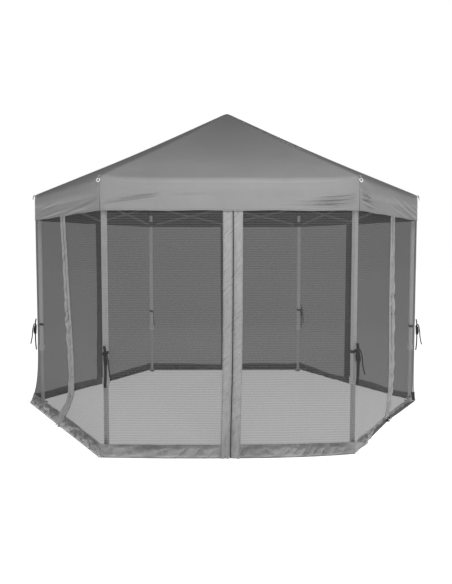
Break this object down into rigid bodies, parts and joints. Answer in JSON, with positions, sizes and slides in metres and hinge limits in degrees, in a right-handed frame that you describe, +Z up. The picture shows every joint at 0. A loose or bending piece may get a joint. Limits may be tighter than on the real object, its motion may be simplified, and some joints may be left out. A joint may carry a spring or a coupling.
{
  "type": "screen house",
  "caption": "Six-sided pop-up screen house: folding scissor frame on telescopic legs, pyramid canopy with a valance, and mesh walls with a zip in the middle of each.",
  "frame": {"origin": "middle of the footprint, on the ground", "axes": "+Z up; corner 1 lies on +X, the longest extent; the front wall with the main zip faces -Y"},
  "size_m": [3.626, 3.1538, 2.7089],
  "materials": {
    "canopy_fabric": "matte",
    "mesh_fabric": "matte",
    "zip_facing": "matte",
    "zip_metal": "satin",
    "leg_coating": "satin",
    "lower_tube": "satin",
    "truss_coating": "satin",
    "moulding": "matte"
  },
  "bodies": {
    "hub": {"centre_hub": "moulding", "canopy_roof": "canopy_fabric", "canopy_valance": "canopy_fabric", "mesh_walls": "mesh_fabric"},
    "inner_rafter_1": {"inner_rafter_1": "truss_coating"},
    "outer_rafter_1": {"outer_rafter_1": "truss_coating"},
    "leg_1": {"upper_leg_1": "leg_coating"},
    "lower_leg_1": {"lower_leg_1": "lower_tube"},
    "slider_1": {"leg_slider_1": "moulding"},
    "down_bar_1_left": {"down_bar_1_left": "truss_coating"},
    "up_bar_1_left": {"up_bar_1_left": "truss_coating"},
    "down_bar_1_right": {"down_bar_1_right": "truss_coating"},
    "up_bar_1_right": {"up_bar_1_right": "truss_coating"},
    "inner_rafter_2": {"inner_rafter_2": "truss_coating"},
    "outer_rafter_2": {"outer_rafter_2": "truss_coating"},
    "leg_2": {"upper_leg_2": "leg_coating"},
    "lower_leg_2": {"lower_leg_2": "lower_tube"},
    "slider_2": {"leg_slider_2": "moulding"},
    "down_bar_2_left": {"down_bar_2_left": "truss_coating"},
    "up_bar_2_left": {"up_bar_2_left": "truss_coating"},
    "down_bar_2_right": {"down_bar_2_right": "truss_coating"},
    "up_bar_2_right": {"up_bar_2_right": "truss_coating"},
    "inner_rafter_3": {"inner_rafter_3": "truss_coating"},
    "outer_rafter_3": {"outer_rafter_3": "truss_coating"},
    "leg_3": {"upper_leg_3": "leg_coating"},
    "lower_leg_3": {"lower_leg_3": "lower_tube"},
    "slider_3": {"leg_slider_3": "moulding"},
    "down_bar_3_left": {"down_bar_3_left": "truss_coating"},
    "up_bar_3_left": {"up_bar_3_left": "truss_coating"},
    "down_bar_3_right": {"down_bar_3_right": "truss_coating"},
    "up_bar_3_right": {"up_bar_3_right": "truss_coating"},
    "inner_rafter_4": {"inner_rafter_4": "truss_coating"},
    "outer_rafter_4": {"outer_rafter_4": "truss_coating"},
    "leg_4": {"upper_leg_4": "leg_coating"},
    "lower_leg_4": {"lower_leg_4": "lower_tube"},
    "slider_4": {"leg_slider_4": "moulding"},
    "down_bar_4_left": {"down_bar_4_left": "truss_coating"},
    "up_bar_4_left": {"up_bar_4_left": "truss_coating"},
    "down_bar_4_right": {"down_bar_4_right": "truss_coating"},
    "up_bar_4_right": {"up_bar_4_right": "truss_coating"},
    "inner_rafter_5": {"inner_rafter_5": "truss_coating"},
    "outer_rafter_5": {"outer_rafter_5": "truss_coating"},
    "leg_5": {"upper_leg_5": "leg_coating"},
    "lower_leg_5": {"lower_leg_5": "lower_tube"},
    "slider_5": {"leg_slider_5": "moulding"},
    "down_bar_5_left": {"down_bar_5_left": "truss_coating"},
    "up_bar_5_left": {"up_bar_5_left": "truss_coating"},
    "down_bar_5_right": {"down_bar_5_right": "truss_coating"},
    "up_bar_5_right": {"up_bar_5_right": "truss_coating"},
    "inner_rafter_6": {"inner_rafter_6": "truss_coating"},
    "outer_rafter_6": {"outer_rafter_6": "truss_coating"},
    "leg_6": {"upper_leg_6": "leg_coating"},
    "lower_leg_6": {"lower_leg_6": "lower_tube"},
    "slider_6": {"leg_slider_6": "moulding"},
    "down_bar_6_left": {"down_bar_6_left": "truss_coating"},
    "up_bar_6_left": {"up_bar_6_left": "truss_coating"},
    "down_bar_6_right": {"down_bar_6_right": "truss_coating"},
    "up_bar_6_right": {"up_bar_6_right": "truss_coating"},
    "front_zip_band": {"front_zip_band": "zip_facing"},
    "front_zip_pull": {"front_zip_pull": "zip_metal"}
  },
  "joints": [
    {"name": "frame_fold", "type": "hinge", "parent": "hub", "child": "inner_rafter_1", "pos_m": [0.06, 0, 2.64251], "axis": [0, 1, 0], "range_deg": [0, 63.97], "deforming": ["canopy_roof", "canopy_valance", "mesh_walls"]},
    {"name": "knee_1", "type": "hinge", "parent": "inner_rafter_1", "child": "outer_rafter_1", "pos_m": [1.21128, 0, 2.15381], "axis": [0, 1, 0], "range_deg": [-173.94, 0]},
    {"name": "eave_pivot_1", "type": "hinge", "parent": "outer_rafter_1", "child": "leg_1", "pos_m": [1.715, 0, 1.94], "axis": [0, 1, 0], "range_deg": [0, 109.97]},
    {"name": "leg_1_height", "type": "slide", "parent": "leg_1", "child": "lower_leg_1", "axis": [0, 0, 1], "range_m": [0, 0.45]},
    {"name": "left_bracket_pivot_1", "type": "hinge", "parent": "leg_1", "child": "down_bar_1_left", "pos_m": [1.731, 0.04157, 1.94], "axis": [-0.866, -0.5, 0], "range_deg": [0, 73.67]},
    {"name": "left_cross_pivot_1", "type": "hinge", "parent": "down_bar_1_left", "child": "up_bar_1_left", "pos_m": [1.52363, 0.40075, 1.84425], "axis": [-0.866, -0.5, 0], "range_deg": [-147.33, 0]},
    {"name": "slider_pivot_1", "type": "hinge", "parent": "up_bar_1_left", "child": "slider_1", "pos_m": [1.731, 0.04157, 1.74849], "axis": [-0.866, -0.5, 0], "range_deg": [0, 73.67]},
    {"name": "right_bracket_pivot_1", "type": "hinge", "parent": "leg_1", "child": "down_bar_1_right", "pos_m": [1.731, -0.04157, 1.94], "axis": [0.866, -0.5, 0], "range_deg": [0, 73.67]},
    {"name": "right_cross_pivot_1", "type": "hinge", "parent": "down_bar_1_right", "child": "up_bar_1_right", "pos_m": [1.52363, -0.40075, 1.84425], "axis": [0.866, -0.5, 0], "range_deg": [-147.33, 0]},
    {"name": "hub_pivot_2", "type": "hinge", "parent": "hub", "child": "inner_rafter_2", "pos_m": [0.03, 0.05196, 2.64251], "axis": [-0.866, 0.5, 0], "range_deg": [0, 63.97]},
    {"name": "knee_2", "type": "hinge", "parent": "inner_rafter_2", "child": "outer_rafter_2", "pos_m": [0.60564, 1.049, 2.15381], "axis": [-0.866, 0.5, 0], "range_deg": [-173.94, 0]},
    {"name": "eave_pivot_2", "type": "hinge", "parent": "outer_rafter_2", "child": "leg_2", "pos_m": [0.8575, 1.48523, 1.94], "axis": [-0.866, 0.5, 0], "range_deg": [0, 109.97]},
    {"name": "leg_2_height", "type": "slide", "parent": "leg_2", "child": "lower_leg_2", "axis": [0, 0, 1], "range_m": [0, 0.45]},
    {"name": "left_bracket_pivot_2", "type": "hinge", "parent": "leg_2", "child": "down_bar_2_left", "pos_m": [0.8295, 1.51988, 1.94], "axis": [0, -1, 0], "range_deg": [0, 73.67]},
    {"name": "left_cross_pivot_2", "type": "hinge", "parent": "down_bar_2_left", "child": "up_bar_2_left", "pos_m": [0.41475, 1.51988, 1.84425], "axis": [0, -1, 0], "range_deg": [-147.33, 0]},
    {"name": "slider_pivot_2", "type": "hinge", "parent": "up_bar_2_left", "child": "slider_2", "pos_m": [0.8295, 1.51988, 1.74849], "axis": [0, -1, 0], "range_deg": [0, 73.67]},
    {"name": "right_bracket_pivot_2", "type": "hinge", "parent": "leg_2", "child": "down_bar_2_right", "pos_m": [0.9015, 1.4783, 1.94], "axis": [0.866, 0.5, 0], "range_deg": [0, 73.67]},
    {"name": "right_cross_pivot_2", "type": "hinge", "parent": "down_bar_2_right", "child": "up_bar_2_right", "pos_m": [1.10888, 1.11912, 1.84425], "axis": [0.866, 0.5, 0], "range_deg": [-147.33, 0]},
    {"name": "hub_pivot_3", "type": "hinge", "parent": "hub", "child": "inner_rafter_3", "pos_m": [-0.03, 0.05196, 2.64251], "axis": [-0.866, -0.5, 0], "range_deg": [0, 63.97]},
    {"name": "knee_3", "type": "hinge", "parent": "inner_rafter_3", "child": "outer_rafter_3", "pos_m": [-0.60564, 1.049, 2.15381], "axis": [-0.866, -0.5, 0], "range_deg": [-173.94, 0]},
    {"name": "eave_pivot_3", "type": "hinge", "parent": "outer_rafter_3", "child": "leg_3", "pos_m": [-0.8575, 1.48523, 1.94], "axis": [-0.866, -0.5, 0], "range_deg": [0, 109.97]},
    {"name": "leg_3_height", "type": "slide", "parent": "leg_3", "child": "lower_leg_3", "axis": [0, 0, 1], "range_m": [0, 0.45]},
    {"name": "left_bracket_pivot_3", "type": "hinge", "parent": "leg_3", "child": "down_bar_3_left", "pos_m": [-0.9015, 1.4783, 1.94], "axis": [0.866, -0.5, 0], "range_deg": [0, 73.67]},
    {"name": "left_cross_pivot_3", "type": "hinge", "parent": "down_bar_3_left", "child": "up_bar_3_left", "pos_m": [-1.10888, 1.11912, 1.84425], "axis": [0.866, -0.5, 0], "range_deg": [-147.33, 0]},
    {"name": "slider_pivot_3", "type": "hinge", "parent": "up_bar_3_left", "child": "slider_3", "pos_m": [-0.9015, 1.4783, 1.74849], "axis": [0.866, -0.5, 0], "range_deg": [0, 73.67]},
    {"name": "right_bracket_pivot_3", "type": "hinge", "parent": "leg_3", "child": "down_bar_3_right", "pos_m": [-0.8295, 1.51988, 1.94], "axis": [0, 1, 0], "range_deg": [0, 73.67]},
    {"name": "right_cross_pivot_3", "type": "hinge", "parent": "down_bar_3_right", "child": "up_bar_3_right", "pos_m": [-0.41475, 1.51988, 1.84425], "axis": [0, 1, 0], "range_deg": [-147.33, 0]},
    {"name": "hub_pivot_4", "type": "hinge", "parent": "hub", "child": "inner_rafter_4", "pos_m": [-0.06, 0, 2.64251], "axis": [0, -1, 0], "range_deg": [0, 63.97]},
    {"name": "knee_4", "type": "hinge", "parent": "inner_rafter_4", "child": "outer_rafter_4", "pos_m": [-1.21128, 0, 2.15381], "axis": [0, -1, 0], "range_deg": [-173.94, 0]},
    {"name": "eave_pivot_4", "type": "hinge", "parent": "outer_rafter_4", "child": "leg_4", "pos_m": [-1.715, 0, 1.94], "axis": [0, -1, 0], "range_deg": [0, 109.97]},
    {"name": "leg_4_height", "type": "slide", "parent": "leg_4", "child": "lower_leg_4", "axis": [0, 0, 1], "range_m": [0, 0.45]},
    {"name": "left_bracket_pivot_4", "type": "hinge", "parent": "leg_4", "child": "down_bar_4_left", "pos_m": [-1.731, -0.04157, 1.94], "axis": [0.866, 0.5, 0], "range_deg": [0, 73.67]},
    {"name": "left_cross_pivot_4", "type": "hinge", "parent": "down_bar_4_left", "child": "up_bar_4_left", "pos_m": [-1.52363, -0.40075, 1.84425], "axis": [0.866, 0.5, 0], "range_deg": [-147.33, 0]},
    {"name": "slider_pivot_4", "type": "hinge", "parent": "up_bar_4_left", "child": "slider_4", "pos_m": [-1.731, -0.04157, 1.74849], "axis": [0.866, 0.5, 0], "range_deg": [0, 73.67]},
    {"name": "right_bracket_pivot_4", "type": "hinge", "parent": "leg_4", "child": "down_bar_4_right", "pos_m": [-1.731, 0.04157, 1.94], "axis": [-0.866, 0.5, 0], "range_deg": [0, 73.67]},
    {"name": "right_cross_pivot_4", "type": "hinge", "parent": "down_bar_4_right", "child": "up_bar_4_right", "pos_m": [-1.52363, 0.40075, 1.84425], "axis": [-0.866, 0.5, 0], "range_deg": [-147.33, 0]},
    {"name": "hub_pivot_5", "type": "hinge", "parent": "hub", "child": "inner_rafter_5", "pos_m": [-0.03, -0.05196, 2.64251], "axis": [0.866, -0.5, 0], "range_deg": [0, 63.97]},
    {"name": "knee_5", "type": "hinge", "parent": "inner_rafter_5", "child": "outer_rafter_5", "pos_m": [-0.60564, -1.049, 2.15381], "axis": [0.866, -0.5, 0], "range_deg": [-173.94, 0]},
    {"name": "eave_pivot_5", "type": "hinge", "parent": "outer_rafter_5", "child": "leg_5", "pos_m": [-0.8575, -1.48523, 1.94], "axis": [0.866, -0.5, 0], "range_deg": [0, 109.97]},
    {"name": "leg_5_height", "type": "slide", "parent": "leg_5", "child": "lower_leg_5", "axis": [0, 0, 1], "range_m": [0, 0.45]},
    {"name": "left_bracket_pivot_5", "type": "hinge", "parent": "leg_5", "child": "down_bar_5_left", "pos_m": [-0.8295, -1.51988, 1.94], "axis": [0, 1, 0], "range_deg": [0, 73.67]},
    {"name": "left_cross_pivot_5", "type": "hinge", "parent": "down_bar_5_left", "child": "up_bar_5_left", "pos_m": [-0.41475, -1.51988, 1.84425], "axis": [0, 1, 0], "range_deg": [-147.33, 0]},
    {"name": "slider_pivot_5", "type": "hinge", "parent": "up_bar_5_left", "child": "slider_5", "pos_m": [-0.8295, -1.51988, 1.74849], "axis": [0, 1, 0], "range_deg": [0, 73.67]},
    {"name": "right_bracket_pivot_5", "type": "hinge", "parent": "leg_5", "child": "down_bar_5_right", "pos_m": [-0.9015, -1.4783, 1.94], "axis": [-0.866, -0.5, 0], "range_deg": [0, 73.67]},
    {"name": "right_cross_pivot_5", "type": "hinge", "parent": "down_bar_5_right", "child": "up_bar_5_right", "pos_m": [-1.10888, -1.11912, 1.84425], "axis": [-0.866, -0.5, 0], "range_deg": [-147.33, 0]},
    {"name": "hub_pivot_6", "type": "hinge", "parent": "hub", "child": "inner_rafter_6", "pos_m": [0.03, -0.05196, 2.64251], "axis": [0.866, 0.5, 0], "range_deg": [0, 63.97]},
    {"name": "knee_6", "type": "hinge", "parent": "inner_rafter_6", "child": "outer_rafter_6", "pos_m": [0.60564, -1.049, 2.15381], "axis": [0.866, 0.5, 0], "range_deg": [-173.94, 0]},
    {"name": "eave_pivot_6", "type": "hinge", "parent": "outer_rafter_6", "child": "leg_6", "pos_m": [0.8575, -1.48523, 1.94], "axis": [0.866, 0.5, 0], "range_deg": [0, 109.97]},
    {"name": "leg_6_height", "type": "slide", "parent": "leg_6", "child": "lower_leg_6", "axis": [0, 0, 1], "range_m": [0, 0.45]},
    {"name": "left_bracket_pivot_6", "type": "hinge", "parent": "leg_6", "child": "down_bar_6_left", "pos_m": [0.9015, -1.4783, 1.94], "axis": [-0.866, 0.5, 0], "range_deg": [0, 73.67]},
    {"name": "left_cross_pivot_6", "type": "hinge", "parent": "down_bar_6_left", "child": "up_bar_6_left", "pos_m": [1.10888, -1.11912, 1.84425], "axis": [-0.866, 0.5, 0], "range_deg": [-147.33, 0]},
    {"name": "slider_pivot_6", "type": "hinge", "parent": "up_bar_6_left", "child": "slider_6", "pos_m": [0.9015, -1.4783, 1.74849], "axis": [-0.866, 0.5, 0], "range_deg": [0, 73.67]},
    {"name": "right_bracket_pivot_6", "type": "hinge", "parent": "leg_6", "child": "down_bar_6_right", "pos_m": [0.8295, -1.51988, 1.94], "axis": [0, -1, 0], "range_deg": [0, 73.67]},
    {"name": "right_cross_pivot_6", "type": "hinge", "parent": "down_bar_6_right", "child": "up_bar_6_right", "pos_m": [0.41475, -1.51988, 1.84425], "axis": [0, -1, 0], "range_deg": [-147.33, 0]},
    {"name": "front_wall_gather", "type": "slide", "parent": "leg_5", "child": "front_zip_band", "axis": [-1, 0, 0], "range_m": [0, 0.78]},
    {"name": "front_zip_slide", "type": "slide", "parent": "front_zip_band", "child": "front_zip_pull", "axis": [0, 0, 1], "range_m": [-0.79, 0.8]}
  ],
  "couplings": [
    {"joint": "knee_1", "follows": "frame_fold", "ratio": -2.7191},
    {"joint": "eave_pivot_1", "follows": "frame_fold", "ratio": 1.7191},
    {"joint": "left_bracket_pivot_1", "follows": "frame_fold", "ratio": 1.1516},
    {"joint": "left_cross_pivot_1", "follows": "frame_fold", "ratio": -2.3031},
    {"joint": "slider_pivot_1", "follows": "frame_fold", "ratio": 1.1516},
    {"joint": "right_bracket_pivot_1", "follows": "frame_fold", "ratio": 1.1516},
    {"joint": "right_cross_pivot_1", "follows": "frame_fold", "ratio": -2.3031},
    {"joint": "hub_pivot_2", "follows": "frame_fold", "ratio": 1},
    {"joint": "knee_2", "follows": "frame_fold", "ratio": -2.7191},
    {"joint": "eave_pivot_2", "follows": "frame_fold", "ratio": 1.7191},
    {"joint": "left_bracket_pivot_2", "follows": "frame_fold", "ratio": 1.1516},
    {"joint": "left_cross_pivot_2", "follows": "frame_fold", "ratio": -2.3031},
    {"joint": "slider_pivot_2", "follows": "frame_fold", "ratio": 1.1516},
    {"joint": "right_bracket_pivot_2", "follows": "frame_fold", "ratio": 1.1516},
    {"joint": "right_cross_pivot_2", "follows": "frame_fold", "ratio": -2.3031},
    {"joint": "hub_pivot_3", "follows": "frame_fold", "ratio": 1},
    {"joint": "knee_3", "follows": "frame_fold", "ratio": -2.7191},
    {"joint": "eave_pivot_3", "follows": "frame_fold", "ratio": 1.7191},
    {"joint": "left_bracket_pivot_3", "follows": "frame_fold", "ratio": 1.1516},
    {"joint": "left_cross_pivot_3", "follows": "frame_fold", "ratio": -2.3031},
    {"joint": "slider_pivot_3", "follows": "frame_fold", "ratio": 1.1516},
    {"joint": "right_bracket_pivot_3", "follows": "frame_fold", "ratio": 1.1516},
    {"joint": "right_cross_pivot_3", "follows": "frame_fold", "ratio": -2.3031},
    {"joint": "hub_pivot_4", "follows": "frame_fold", "ratio": 1},
    {"joint": "knee_4", "follows": "frame_fold", "ratio": -2.7191},
    {"joint": "eave_pivot_4", "follows": "frame_fold", "ratio": 1.7191},
    {"joint": "left_bracket_pivot_4", "follows": "frame_fold", "ratio": 1.1516},
    {"joint": "left_cross_pivot_4", "follows": "frame_fold", "ratio": -2.3031},
    {"joint": "slider_pivot_4", "follows": "frame_fold", "ratio": 1.1516},
    {"joint": "right_bracket_pivot_4", "follows": "frame_fold", "ratio": 1.1516},
    {"joint": "right_cross_pivot_4", "follows": "frame_fold", "ratio": -2.3031},
    {"joint": "hub_pivot_5", "follows": "frame_fold", "ratio": 1},
    {"joint": "knee_5", "follows": "frame_fold", "ratio": -2.7191},
    {"joint": "eave_pivot_5", "follows": "frame_fold", "ratio": 1.7191},
    {"joint": "left_bracket_pivot_5", "follows": "frame_fold", "ratio": 1.1516},
    {"joint": "left_cross_pivot_5", "follows": "frame_fold", "ratio": -2.3031},
    {"joint": "slider_pivot_5", "follows": "frame_fold", "ratio": 1.1516},
    {"joint": "right_bracket_pivot_5", "follows": "frame_fold", "ratio": 1.1516},
    {"joint": "right_cross_pivot_5", "follows": "frame_fold", "ratio": -2.3031},
    {"joint": "hub_pivot_6", "follows": "frame_fold", "ratio": 1},
    {"joint": "knee_6", "follows": "frame_fold", "ratio": -2.7191},
    {"joint": "eave_pivot_6", "follows": "frame_fold", "ratio": 1.7191},
    {"joint": "left_bracket_pivot_6", "follows": "frame_fold", "ratio": 1.1516},
    {"joint": "left_cross_pivot_6", "follows": "frame_fold", "ratio": -2.3031},
    {"joint": "slider_pivot_6", "follows": "frame_fold", "ratio": 1.1516},
    {"joint": "right_bracket_pivot_6", "follows": "frame_fold", "ratio": 1.1516},
    {"joint": "right_cross_pivot_6", "follows": "frame_fold", "ratio": -2.3031},
    {"joint": "front_wall_gather", "follows": "frame_fold", "m_per_rad": 0.69861}
  ]
}
